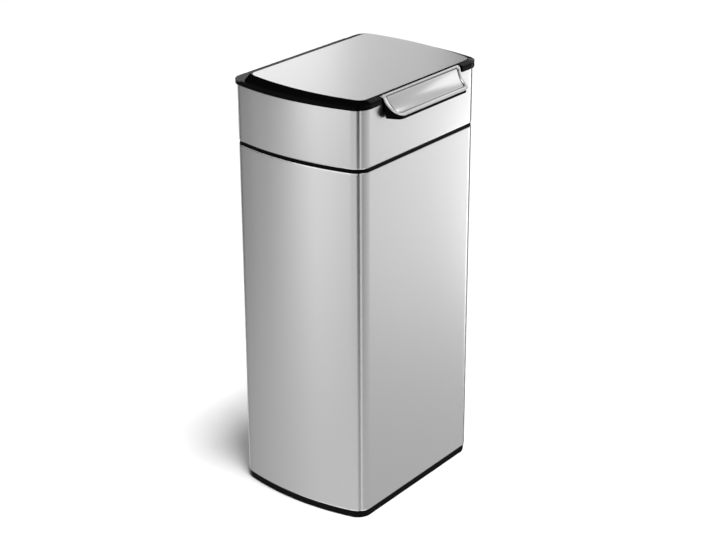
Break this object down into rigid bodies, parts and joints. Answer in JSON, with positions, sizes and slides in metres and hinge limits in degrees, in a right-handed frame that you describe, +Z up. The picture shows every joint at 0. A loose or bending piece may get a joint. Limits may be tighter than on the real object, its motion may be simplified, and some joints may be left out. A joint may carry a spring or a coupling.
{
  "type": "touch-bar trash can",
  "caption": "Rectangular steel kitchen bin with bowed sides, a lift-off collar, a hinged lid released by a touch bar, and an inner bucket.",
  "frame": {"origin": "centre of the underside, on the floor", "axes": "+Z up; +X along the straight front, to the right as seen from the front; the front with the touch bar faces -Y"},
  "size_m": [0.3338, 0.2756, 0.6918],
  "materials": {
    "steel": "brushed, satin",
    "bright_steel": "plain bright",
    "gloss_black": "polished",
    "matte_black": "fine matte",
    "bucket_grey": "fine matte",
    "rubber": "matte"
  },
  "bodies": {
    "body": {"base_plinth": "matte_black", "foot_pads": "rubber", "body_shell": "steel", "body_rim": "matte_black"},
    "bucket": {"inner_bucket": "bucket_grey"},
    "collar": {"collar_shell": "steel", "collar_liner": "matte_black", "collar_screws": "bright_steel", "top_ring": "gloss_black", "lid_bumpers": "rubber", "hinge_pins": "bright_steel", "lid_springs": "bright_steel", "bar_pivot_pin": "bright_steel", "latch_bracket": "matte_black", "latch_pin": "bright_steel", "latch_spring": "bright_steel", "latch_screws": "bright_steel"},
    "lid": {"lid_frame": "gloss_black", "lid_panel": "steel", "lid_cover": "matte_black", "lid_screws": "bright_steel", "lid_keeper": "bright_steel", "keeper_rivets": "bright_steel"},
    "touch_bar": {"touch_bar_skin": "steel", "touch_bar_core": "matte_black"},
    "latch": {"latch_lever": "matte_black"}
  },
  "joints": [
    {"name": "collar_lift", "type": "slide", "parent": "body", "child": "collar", "axis": [0, 0, 1], "range_m": [0, 0.72]},
    {"name": "bucket_lift", "type": "slide", "parent": "body", "child": "bucket", "axis": [0, 0, 1], "range_m": [0, 0.576]},
    {"name": "lid_hinge", "type": "hinge", "parent": "collar", "child": "lid", "pos_m": [0, 0.09485, 0.6854], "axis": [-1, 0, 0], "range_deg": [0, 82], "deforming": ["lid_springs"]},
    {"name": "bar_press", "type": "hinge", "parent": "collar", "child": "touch_bar", "pos_m": [0, -0.112, 0.678], "axis": [1, 0, 0], "range_deg": [0, 5], "stiffness_Nm_per_rad": 0.5, "springref_deg": -17.19},
    {"name": "latch_turn", "type": "hinge", "parent": "collar", "child": "latch", "pos_m": [0, -0.10735, 0.66], "axis": [1, 0, 0], "range_deg": [0, 13], "deforming": ["latch_spring"]}
  ],
  "couplings": [
    {"joint": "bucket_lift", "follows": "collar_lift", "ratio": 0.8},
    {"joint": "latch_turn", "follows": "bar_press", "ratio": 2.6}
  ]
}
